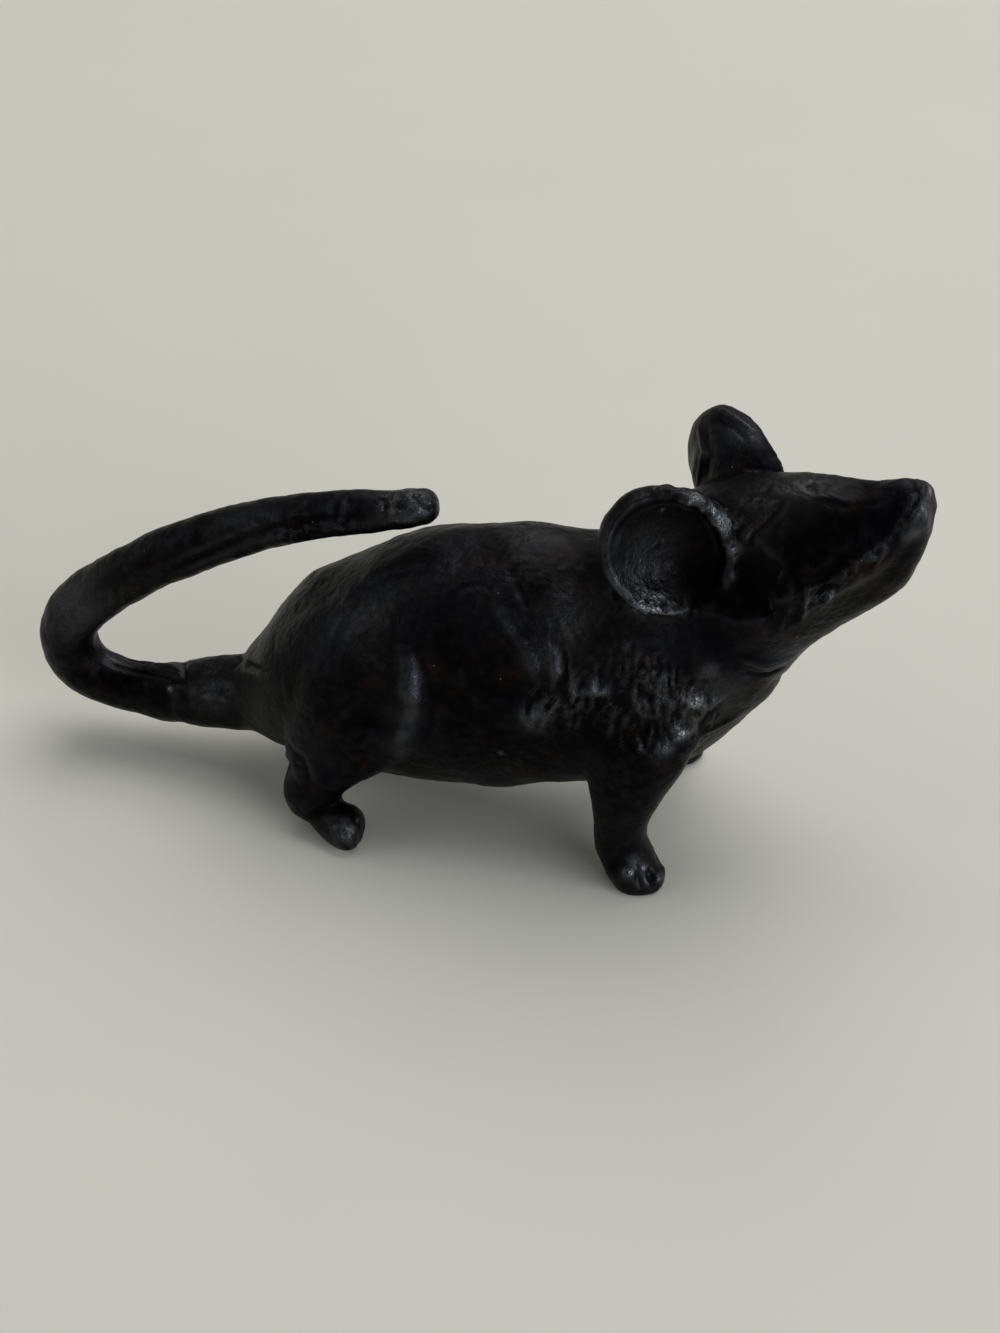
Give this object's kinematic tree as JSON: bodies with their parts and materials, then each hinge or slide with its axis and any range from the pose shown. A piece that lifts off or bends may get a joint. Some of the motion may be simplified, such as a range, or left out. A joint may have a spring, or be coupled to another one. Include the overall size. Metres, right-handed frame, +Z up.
{
  "type": "mouse figurine",
  "caption": "Black painted cast mouse ornament that stands on short feet, with cupped ears, a wedge-shaped head turned on its neck, and a long tail curling up over its back.",
  "frame": {"origin": "on the ground, halfway between the bend of the tail and the nose, on the seam of the body", "axes": "+X from the tail to the nose, +Y to the mouse's own left, +Z up"},
  "size_m": [0.1542, 0.0488, 0.0779],
  "materials": {
    "black_paint": "satin black paint over a rough casting, a little brown and blue in places",
    "steel": "plain zinc-plated steel"
  },
  "bodies": {
    "root": {"body_right_half": "black_paint", "body_left_half": "black_paint", "head": "black_paint", "ear_right": "black_paint", "ear_left": "black_paint", "tail": "black_paint", "body_screw": "steel", "locating_dowels": "steel", "tail_pin": "steel", "neck_pin": "steel"}
  },
  "joints": []
}
